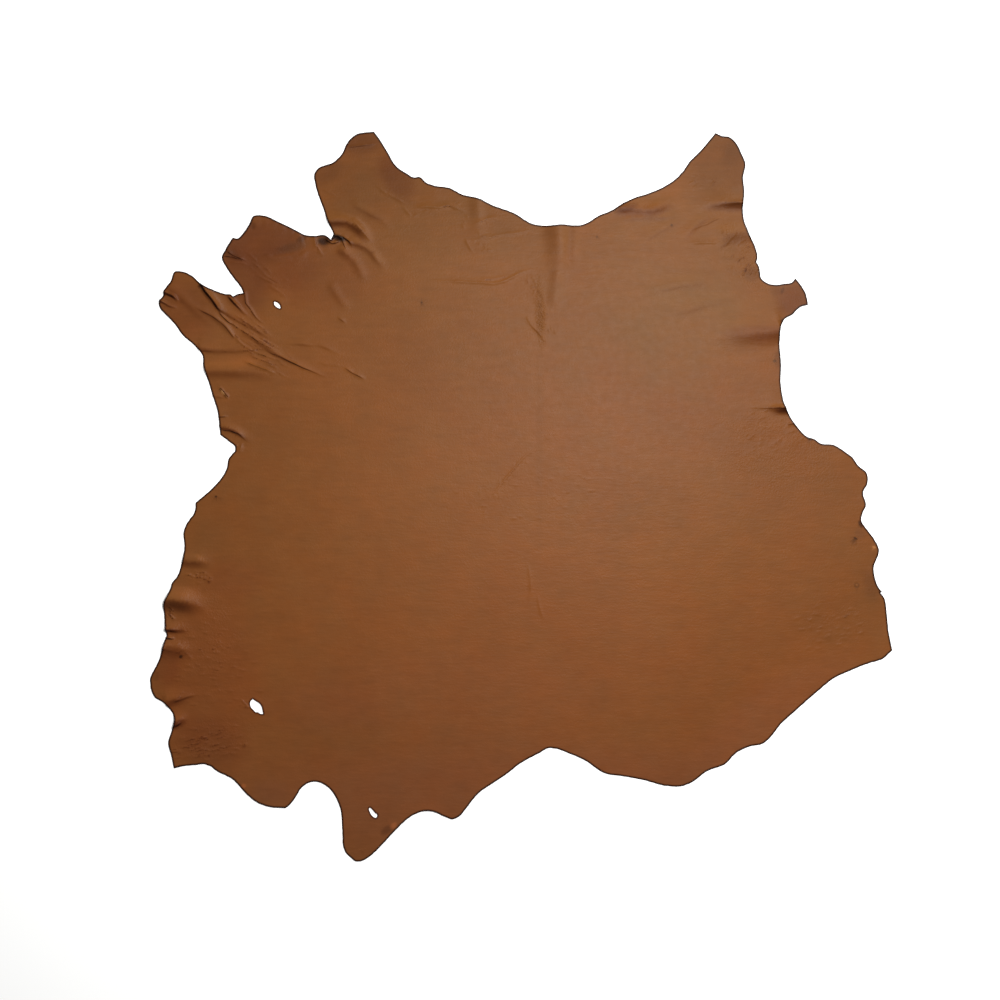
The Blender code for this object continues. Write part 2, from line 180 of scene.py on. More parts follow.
# Holes: middle x, y, then the hole's edge about that middle, clockwise, all in centimetres.
HOLES = {
    "left shank hole": (
        (-89.8, -71.6), (-1.4, 2.6, CORNER), (0, 1.7), (0.8, 1.2), (1.5, 0.3), (2, -1.4), (2.2, -2.5, CORNER),
        (1.1, -2.4), (0.4, -1.9), (-0.3, -1.9), (-1.2, -1.1), (-2, -0.2), (-2.3, 0.9), (-2.2, 1.7),
    ),
    "left foreleg hole": (
        (-82.9, 64.9), (-1, 1.1), (0.2, 0.8), (1, -0.2), (1.1, -1.1), (-0.1, -0.7), (-0.9, 0.1),
    ),
    "lower left shank hole": (
        (-50.3, -107.7), (-1.2, 1.7), (-0.1, 0.9), (0.8, -0.1), (1.4, -0.5), (1.3, -1.3), (0.9, -1.7),
        (0.2, -1.4), (-0.7, -0.5), (-1.1, 0.4), (-1.4, 1.2),
    ),
}

# Broad folds and creases. Each raises the sheet along a crest, and falls away over its steep side, on the
# right of the crest's direction, and over its gentle side, on the left: both widths and the height are in
# millimetres. Its height comes up from its start and goes down to its end over these shares of its
# length. The points, in centimetres, run along the middle of the steep side. A "leg" is a left foreleg.
FOLDS = {
    # name: (steep side, gentle side, height, start, end, *points)
    "neck ridge": (84, 56, 7.4, 0.02, 0.45, (8.2, 94), (8.3, 88), (8.4, 83), (9, 78.8), (9, 75), (8.4, 71)),
    "neck ridge low": (
        46, 44, 3.4, 0.2, 0.4, (10.4, 80), (9.6, 75), (9.2, 70), (9.4, 66), (10.8, 63), (13, 60.8),
    ),
    "neck ridge right": (40, 30, 2, 0.02, 0.5, (17, 94), (16.2, 84), (15, 74)),
    "neck edge band": (56, 30, 3.2, 0.02, 0.5, (-17.6, 103), (-17, 94.5), (-15.2, 85)),
    "leg ridge": (
        20, 34, 3.2, 0.02, 0.5, (-109.5, 71.8), (-105.2, 66), (-101.5, 62.5), (-94.5, 58.5), (-87.5, 54),
        (-80.5, 49.8),
    ),
    "leg inner ridge": (
        18, 26, 2.4, 0.3, 0.6, (-98.6, 57.8), (-92, 53.6), (-85.5, 49), (-78.5, 45.2), (-65, 39.6),
    ),
    "leg outer ridge": (22, 30, 2.6, 0.4, 0.3, (-113.4, 64.4), (-106.2, 61), (-101.2, 57), (-97.8, 53)),
    "leg end ridge": (30, 40, 2.4, 0.1, 0.5, (-121.5, 71), (-114.5, 65), (-108, 59), (-103, 55)),
    "shoulder ridge 1": (26, 60, 4.6, 0.02, 0.8, (-110, 49.6), (-103, 48.8), (-95, 48.8), (-86, 49.8)),
    "shoulder ridge 2": (44, 44, 7.2, 0.02, 0.7, (-109, 40.8), (-98, 40.6), (-88, 39.8), (-78, 38.4)),
    "upper leg flap": (100, 60, 5, 0.02, 0.4, (-101.5, 83), (-92, 87.5), (-82, 87), (-72, 84.5)),
    "armpit ridge 1": (
        24, 28, 3.8, 0.1, 0.45, (-59.5, 85.8), (-55.4, 84.6), (-53.4, 83.6), (-51.7, 82.4), (-50.3, 80.5),
        (-48.6, 78.3), (-46.3, 75),
    ),
    "armpit ridge 2": (
        32, 34, 4.4, 0.15, 0.45, (-63.6, 84), (-60.2, 80.9), (-58.1, 79.2), (-56.8, 77.2), (-55.4, 74.8),
        (-53, 71),
    ),
    "armpit ridge 3": (
        36, 34, 8.6, 0.02, 0.45, (-66.8, 91.6), (-62, 91.7), (-59, 91.4), (-56.4, 90.1), (-53.8, 87.2),
        (-52.2, 83.8),
    ),
    "armpit ridge 4": (
        24, 30, 2.3, 0.2, 0.5, (-59, 98.9), (-53.4, 96.2), (-50.7, 94.5), (-48.3, 93.2), (-46.6, 91.2),
        (-45, 88.1),
    ),
    "shoulder dent": (
        28, 30, 2.2, 0.3, 0.4, (-67, 72.6), (-64.9, 69.6), (-62.9, 66.5), (-60.9, 64.3), (-58, 62),
    ),
    "cheek swell": (38, 80, 8.6, 0.75, 0.02, (58, 95.5), (67, 97.6), (71.1, 97.8), (76.5, 97.6)),
    "lower cheek swell": (60, 60, 8, 0.6, 0.02, (65, 85.8), (72.8, 87), (79, 87.5)),
    "neck edge swell": (
        38, 36, 6.8, 0.25, 0.35, (29.5, 94.8), (33.7, 95.6), (37.1, 95.8), (40.5, 95.9), (43.9, 96),
        (47.3, 96.8), (51, 97.8), (56, 98.8),
    ),
    "neck edge rise": (18, 20, 1.4, 0.3, 0.5, (32, 92.9), (40, 93.8), (48, 94), (60, 95.6)),
    "right shoulder swell": (72, 130, 10.2, 0.8, 0.02, (58, 51.2), (79.6, 52.1), (84, 52.6), (90, 53.6)),
    "right brisket wedge": (32, 20, 14.2, 0.95, 0.02, (80.6, 29), (86.4, 28.6), (92, 28.2)),
    "left brisket pleat": (16, 28, 4, 0.02, 0.6, (-103, 22.8), (-98.4, 22), (-95.2, 20.3), (-90.5, 16.5)),
    "belly wave 1": (38, 40, 8.6, 0.02, 0.6, (-116, -23.4), (-112.5, -23.6), (-110.2, -23.8), (-104, -24.4)),
    "belly wave 2": (60, 60, 11.6, 0.02, 0.6, (-123, -37.9), (-117.6, -38.4), (-111.9, -39.6), (-105, -41.6)),
    "belly wave 3": (20, 40, 5.4, 0.02, 0.7, (-123, -45.9), (-117.6, -46.3), (-110.5, -46.9)),
    "belly wave 4": (56, 36, 8.5, 0.02, 0.5, (-124.5, -53.9), (-118.7, -54.4), (-110, -55.4)),
    "belly wave 5": (38, 46, 7.6, 0.02, 0.7, (-121, -71.8), (-116.5, -70.4), (-109.5, -68)),
    "belly wave 6": (32, 34, 8, 0.02, 0.7, (-119.8, -79.2), (-111.5, -76)),
    "upper leg foot": (46, 90, 4.8, 0.6, 0.05, (-92, 79.8), (-84.7, 82.2), (-79.6, 83.5), (-73, 85.6)),
    "cheek soft 1": (24, 40, 2.2, 0.4, 0.4, (53, 84), (60, 91), (68, 97)),
    "cheek soft 2": (20, 36, 2.2, 0.4, 0.4, (66, 82.6), (70.4, 86), (74.6, 90.2)),
    "cheek soft 3": (22, 40, 2, 0.4, 0.4, (40, 84), (50, 90.6), (58, 94.4)),
    "neck soft 1": (30, 50, 2, 0.4, 0.4, (38, 66), (52, 70), (70, 71.4)),
    "neck soft 2": (30, 50, 2, 0.4, 0.4, (48, 60), (60, 63), (76, 66.4)),
}
CREASES = {
    # name: (steep side, gentle side, height, start, end, *points)
    "leg main": (
        10, 18, 12.6, 0.02, 0.4, (-110.4, 74), (-108.1, 70.4), (-105.6, 67), (-103.4, 64.3), (-102.4, 63.2),
        (-101.2, 62.2), (-99.6, 61.2),
    ),
    "leg branch": (
        3.5, 10, 2.3, 0.05, 0.4, (-100.4, 61.6), (-97.5, 60.1), (-95.1, 58.8), (-92.3, 57.4), (-89.8, 56),
        (-88, 54.8), (-86, 53.9),
    ),
    "leg fork": (
        5, 12, 5.2, 0.1, 0.55, (-102.9, 62.6), (-101.4, 60.9), (-100, 59.5), (-98.4, 58.5), (-96.2, 57),
    ),
    "leg bundle 1": (3.5, 9, 1.6, 0.2, 0.4, (-98.6, 62.6), (-95.6, 60.3), (-91, 57.2), (-86.8, 55)),
    "leg bundle 2": (3.5, 8, 2, 0.3, 0.4, (-89.6, 54.4), (-87, 52.8), (-84.4, 51.2), (-81, 49.4)),
    "leg long": (
        4, 11, 3.6, 0.12, 0.4, (-99.6, 59.4), (-97.5, 57.9), (-95.4, 56.4), (-92.9, 55), (-90.7, 53.4),
        (-88.9, 52.2), (-86.4, 50.8), (-83.6, 49.6), (-81, 48.2),
    ),
    "leg far": (
        5, 15, 4.8, 0.4, 0.45, (-89, 50.5), (-87.2, 49.6), (-84.6, 48.3), (-82.1, 47.4), (-79.9, 46.3),
        (-77.4, 45.1), (-75, 43.9), (-72.5, 42.9), (-70, 41.8), (-67.6, 40.8), (-65.1, 39.9),
    ),
    "leg outer": (
        6, 15, 4, 0.35, 0.1, (-112.4, 64.8), (-109.1, 63.1), (-106.6, 61.8), (-104, 60.4), (-101.6, 58.6),
        (-99.8, 56.6), (-98.2, 54.4), (-97.2, 53.1),
    ),
    "leg inner": (
        3.5, 9, 2.8, 0.1, 0.4, (-97.6, 54.4), (-96.4, 53), (-94.4, 51.1), (-92.3, 49.9), (-89.2, 48.3),
        (-86, 47.2), (-82.4, 46), (-79.6, 44.8),
    ),
    "leg nick": (3.5, 5, 2.6, 0.2, 0.3, (-97.4, 54.8), (-96.6, 54), (-95.6, 53.4)),
    "leg tip": (10, 11, 9, 0.05, 0.5, (-122.6, 69.4), (-120, 68.4), (-118.2, 67.5), (-116.4, 65.4)),
    "leg tip lower": (9, 10, 7, 0.05, 0.5, (-123.2, 66.4), (-120.4, 64.9), (-118, 64), (-116.6, 63.2)),
    "notch fold": (
        9, 14, 9, 0.2, 0.75, (-100.4, 68.4), (-98.6, 66.5), (-96.6, 64.4), (-94.5, 62.2), (-91.8, 60),
    ),
    "notch wrinkle": (
        4.5, 10, 3.2, 0.05, 0.5, (-94.4, 69.8), (-93.8, 67.3), (-93.7, 66), (-92, 63.4), (-90.4, 60.9),
        (-88.1, 58.8), (-86.4, 57.8),
    ),
    "shoulder arc left": (9, 18, 3.6, 0.02, 0.8, (-110.5, 49.6), (-105.7, 49), (-100.3, 48.8)),
    "shoulder arc": (
        4, 12, 2.4, 0.3, 0.3, (-104, 49), (-100, 48.9), (-96.5, 49.1), (-91.5, 49.5), (-88.6, 49.8),
        (-84.8, 50),
    ),
    "shoulder arc right": (
        12, 20, 2.6, 0.4, 0.4, (-84, 51.2), (-78.9, 51.4), (-74.5, 51.3), (-70, 50.8), (-66.3, 50),
        (-63.3, 48.8), (-61.1, 47.5), (-58.9, 45.9),
    ),
    "shoulder fan 1": (
        3.5, 8, 2.6, 0.2, 0.4, (-92.3, 47.8), (-89.8, 46.7), (-87.3, 45.8), (-84.6, 44.8), (-81.2, 44.1),
    ),
    "shoulder fan 2": (
        4, 10, 5, 0.3, 0.4, (-95.2, 46.2), (-92.3, 44.9), (-89.2, 43.7), (-86.7, 42.8), (-84.6, 42),
        (-82.4, 41),
    ),
    "shoulder fan 3": (3.5, 8, 2.4, 0.3, 0.4, (-87.8, 45.4), (-85.2, 44.3), (-82.4, 42.9)),
    "shoulder fan 4": (3.5, 8, 2.4, 0.3, 0.4, (-88, 53.4), (-85.6, 51.8), (-83, 50.4)),
    "shoulder fan 5": (4, 8, 1.4, 0.3, 0.4, (-70, 45.6), (-67, 44.9), (-61.9, 44.2), (-59.6, 43.3)),
    "shoulder fan 6": (
        5, 12, 2.8, 0.3, 0.4, (-61, 44), (-59.6, 43.3), (-57.5, 41.8), (-55.2, 40.7), (-52.6, 39),
    ),
    "upper leg wrinkle 1": (5, 10, 4.2, 0.1, 0.4, (-100, 83.2), (-97.6, 81.6), (-94.8, 80.4), (-92.6, 79.3)),
    "upper leg wrinkle 2": (
        4.5, 8, 3.4, 0.05, 0.4, (-101.6, 81.5), (-97.9, 81.1), (-95.5, 80.2), (-93.2, 79),
    ),
    "upper leg wrinkle 3": (4, 7, 2.4, 0.2, 0.4, (-98.9, 79.3), (-96.5, 79.2), (-94.4, 79), (-92.4, 78.2)),
    "upper leg wrinkle 4": (3.5, 8, 2, 0.3, 0.4, (-89.6, 76.3), (-87, 74.9), (-84.3, 73.2), (-81.4, 71.8)),
    "upper leg wrinkle 5": (3.5, 7, 2, 0.3, 0.4, (-90.5, 75.4), (-87, 73.5), (-84.3, 72.2), (-81.6, 71)),
    "upper leg wrinkle 6": (3.5, 7, 1.8, 0.3, 0.4, (-91.4, 79), (-90, 78.2), (-88.4, 76.8)),
    "upper leg wrinkle 7": (4, 8, 1.8, 0.3, 0.4, (-86, 71.7), (-84, 70.4), (-81.6, 69)),
    "upper leg line": (4, 9, 1.2, 0.4, 0.4, (-84.7, 78.5), (-79, 78.8), (-74.1, 78.5)),
    "armpit ray": (4, 7, 2.2, 0.2, 0.5, (-69.4, 85.2), (-68.6, 83.2), (-67, 81.2)),
    "armpit pleat": (6, 13, 2.6, 0.35, 0.05, (-69, 83.8), (-69.6, 86.2), (-70.1, 89.2)),
    "armpit pocket": (
        6, 9, 6.2, 0.05, 0.35, (-66.6, 87.2), (-65.3, 86.2), (-64.2, 85.8), (-62.6, 86.1), (-60.8, 86.6),
    ),
    "armpit wedge": (8, 10, 6.5, 0.05, 0.35, (-64.4, 87), (-62.9, 88.3), (-61.5, 87.7), (-60, 86.6)),
    "armpit swirl 1": (5, 6, 4.6, 0.05, 0.5, (-60.9, 87.2), (-60.2, 85.3), (-59.2, 83.6)),
    "armpit swirl 2": (7, 8, 6.6, 0.05, 0.5, (-61, 88.2), (-59.4, 87.2), (-57.4, 84.4)),
    "armpit line": (
        4, 16, 2.4, 0.1, 0.3, (-57.8, 94.4), (-55.6, 91.7), (-54.2, 90), (-52.6, 88.2), (-50.4, 86),
    ),
    "shoulder line": (4, 8, 0.8, 0.3, 0.5, (-57.5, 62.2), (-37.7, 61.7), (-7.1, 61.6)),
    "shoulder tick": (6, 12, 1.8, 0.4, 0.4, (-62.8, 60.7), (-59.6, 58.6)),
    "cheek faint": (4, 9, 1.4, 0.3, 0.4, (-67.7, 103.7), (-64.9, 103), (-62.4, 101.4)),
    "cheek top": (5, 10, 2.4, 0.3, 0.3, (-60, 118.2), (-54.7, 118.9), (-48.5, 119.6)),
    "scratch 1": (3.5, 10, 1.6, 0.3, 0.3, (-50.7, 106.1), (-46.2, 103), (-41.8, 100.6), (-37.4, 97.9)),
    "scratch 2": (3.5, 6, 1.4, 0.3, 0.4, (-40.5, 98.3), (-37.1, 94.9)),
    "neck crackle": (
        4, 20, 4.2, 0.2, 0.3, (-36.4, 97.6), (-31.6, 98.1), (-27.9, 97.9), (-24.8, 98.5), (-21.9, 97.6),
        (-17.5, 95.9),
    ),
    "neck crescent 1": (3.5, 12, 1.6, 0.3, 0.4, (-16.5, 92.2), (-12.9, 93.4), (-10.5, 94.2), (-5.8, 94)),
    "neck crescent 2": (3.5, 8, 1.7, 0.3, 0.4, (-14.6, 87.7), (-12.9, 88.1), (-7.8, 88.4)),
    "neck crescent 3": (3.5, 7, 1.2, 0.3, 0.4, (-13.9, 83), (-8.8, 83.6)),
    "neck crescent 4": (3.5, 9, 1.3, 0.3, 0.4, (-19.3, 87.8), (-17.9, 85), (-15.9, 82)),
    "neck line 1": (
        4, 12, 2.8, 0.3, 0.4, (-33, 73), (-20.7, 72.6), (-13.9, 72.3), (-7.1, 72.4), (-5.1, 73.1),
        (-3.1, 74.1), (-0.3, 75.5), (2.4, 76.5), (6.5, 76.2), (9.9, 76.2),
    ),
    "neck line 2": (
        3.5, 12, 1.1, 0.4, 0.3, (-22.4, 73.8), (-17.3, 73.4), (-12.2, 73.4), (-7.1, 74), (-0.3, 75.8),
    ),
    "neck line 3": (
        4, 14, 1.5, 0.3, 0.4, (-18, 86.6), (-10, 87.8), (-6.1, 88.7), (-2, 89.1), (3.1, 90.1), (6.5, 90.6),
    ),
    "neck diagonal 1": (8, 14, 1.3, 0.3, 0.4, (5, 71.8), (5.8, 70), (6.8, 68), (7.6, 65.6)),
    "neck diagonal 2": (8, 16, 1.9, 0.1, 0.4, (1.6, 61.2), (3.7, 57.5), (5.8, 55.1), (7.5, 53), (9.6, 50.6)),
    "back crackle": (3.5, 7, 1.3, 0.4, 0.4, (-16.1, -2.9), (-10.2, 0.3), (-3.4, 7.8), (3.1, 14.6), (9.5, 17)),
    "back wave 1": (3.5, 7, 1.3, 0.3, 0.3, (2.2, -22.4), (2.9, -28), (3.2, -32.4), (1.8, -36.8)),
    "back wave 2": (3.5, 7, 1.3, 0.3, 0.3, (5.4, -33.2), (6, -36.7), (7.6, -42.8)),
    "cheek line": (4, 14, 2.8, 0.3, 0.3, (55.8, 85.8), (60.9, 85.9), (64.9, 86), (68.8, 85.9)),
    "cheek rise": (4, 14, 2, 0.1, 0.5, (69.4, 84.6), (70.7, 86.6), (72.3, 88.2), (74.6, 89.2)),
    "cheek diagonal": (
        5, 11, 1.4, 0.3, 0.3, (57.6, 90.2), (60.2, 91.2), (63.4, 92.4), (65.9, 93.6), (69, 95),
    ),
    "right pleat": (5, 8, 3.4, 0.7, 0.05, (76.4, 30), (83.3, 29.8), (87.5, 29.8), (91.8, 29.7)),
    "right nick": (6, 8, 4.6, 0.3, 0.05, (90.4, 24), (92.1, 24.5), (94, 23.4)),
    "knife slit": (5, 7, 6, 0.1, 0.1, (-99.3, 33.4), (-100.3, 34.5), (-101.1, 35.6), (-102.4, 36.9)),
    "slit dent": (9, 18, 3.6, 0.05, 0.5, (-105.6, 33.9), (-103, 33.5), (-100, 33.2)),
    "brisket dent": (6, 9, 3.4, 0.05, 0.4, (-103.6, 26.9), (-102, 26.9), (-99.6, 26.9)),
    "brisket lip": (4, 6, 1.8, 0.1, 0.5, (-101.9, 23.5), (-99.6, 23.5), (-98, 22.7)),
    "brisket crest": (
        6, 10, 5, 0.1, 0.6, (-101.8, 22.4), (-98.9, 22.1), (-97.6, 21.6), (-96.1, 21.1), (-95.2, 20.2),
        (-93.8, 19), (-91.8, 17.4),
    ),
    "brisket tuck": (4, 13, 3.2, 0.1, 0.4, (-95.6, 14.8), (-94.8, 16.5), (-94.9, 18.4)),
    "brisket nick": (4, 6, 3, 0.05, 0.4, (-97.6, 16.5), (-96.4, 17), (-95.6, 17.3)),
    "belly slot 1": (9, 14, 6.8, 0.02, 0.8, (-122.5, -45.7), (-119.6, -45.9), (-117.6, -46.2), (-115, -46.6)),
    "belly slot 2": (7, 10, 8, 0.05, 0.5, (-122, -48), (-120, -48.4), (-117.4, -48.8)),
    "belly slot 3": (4, 8, 2.4, 0.1, 0.4, (-123.5, -51.6), (-119.3, -52.6), (-116.8, -53.1)),
    "belly line": (9, 16, 4.6, 0.15, 0.8, (-118.4, -70.2), (-117, -69.8), (-113.2, -68.5), (-108, -67.2)),
    "shank line": (9, 12, 7, 0.05, 0.6, (-119.6, -79.5), (-117.3, -78.3), (-114, -76.4)),
    "shank mark 1": (4, 7, 2, 0.3, 0.3, (-111.8, -82.1), (-108.9, -79.8)),
    "shank mark 2": (4, 7, 2, 0.3, 0.3, (-105, -81.7), (-100.7, -79.8)),
    "hole strain": (4, 6, 2.2, 0.3, 0.1, (-95.6, -68.9), (-94.9, -69.7), (-92.6, -72.2)),
    "foot line": (28, 9, 2.6, 0.4, 0.25, (-90, 79.6), (-84.7, 80), (-80.2, 80.3), (-75, 81), (-70.6, 82.2)),
    "cheek lip": (10, 16, 5, 0.8, 0.02, (68, 99), (71.6, 99.3), (76.5, 99.2)),
    "belly scratch 1": (3.5, 5, 1.6, 0.2, 0.3, (-111.6, -55.8), (-113, -54), (-114.6, -52.2)),
    "belly scratch 2": (3.5, 5, 1.4, 0.3, 0.2, (-118.4, -54.2), (-115.6, -52.8), (-113, -51.4)),
}

# Patches of fine wrinkles, drawn at random: how many, their mean length in centimetres and height in
# millimetres, their direction in degrees, the patch's half length and half width, and its middle.
WRINKLE_PATCHES = {
    # name: (count, length, height, direction, half length, half width, middle)
    "leg bundle": (14, 8, 1.6, -34, 13, 4, (-89.5, 54.2)),
    "notch fan": (8, 5, 1.6, -50, 5, 3.4, (-92.4, 61.4)),
    "shoulder fan": (10, 6, 1.3, -28, 9, 3.5, (-86, 46.4)),
    "upper leg fan": (8, 6, 1.1, -38, 8, 3, (-87.4, 75.6)),
    "belly crackle": (22, 2.2, 2.4, -8, 4.6, 2, (-109.4, -27.6)),
    "belly wave crackle": (12, 2.6, 2.8, -40, 2.2, 2.6, (-119.4, -39.8)),
    "left belly": (90, 3, 1.5, 1, 18, 15, (-103, -57)),
    "left shank": (90, 3.8, 1.8, 10, 12, 5.6, (-106, -84.4)),
    "tail": (5, 2.4, 1, 5, 2, 1.5, (-55, -121)),
    "cheek": (18, 4, 1.5, 38, 7, 5, (73, 81.6)),
    "cheek edge": (14, 4, 1.9, 45, 3, 3.6, (77, 77.5)),
    "cheek streaks": (12, 3.2, 1.1, 32, 4, 3.4, (63, 106.5)),
    "right brisket": (50, 2, 1.1, 30, 11, 9, (84, 22)),
    "right flank": (40, 2.5, 1.1, 10, 10, 8, (105, -44.9)),
    "neck": (14, 8, 0.4, 2, 18, 10, (24, 77)),
    "withers": (54, 1.8, 1.1, -68, 10.5, 1, (6.6, 64)),
    "neck crackle": (12, 1.8, 1.1, 20, 8, 1.5, (-28, 97.4)),
    "neck crescents": (12, 2.4, 1, -60, 8, 5, (-15, 88)),
    "back crackle": (26, 1.5, 0.8, 45, 15, 1.2, (-4, 7)),
    "mid back": (30, 2.6, 0.8, 2, 30, 16, (8, 4)),
}
WRINKLE_SIDES = (3.5, 6)
WRINKLE_FADES = (0.45, 0.45)
STRAY = 7  # how far a wrinkle's direction strays, in degrees
SPREAD = 0.5  # how far it lies from its patch's middle, as a share of the way to the edge
HALF_LENGTHS, BEND = (0.3, 0.7), 0.1  # its half length and its bend, as shares of the mean length
RISES = (0.5, 1.2)  # its height, as a share of the patch's
SEED = 7
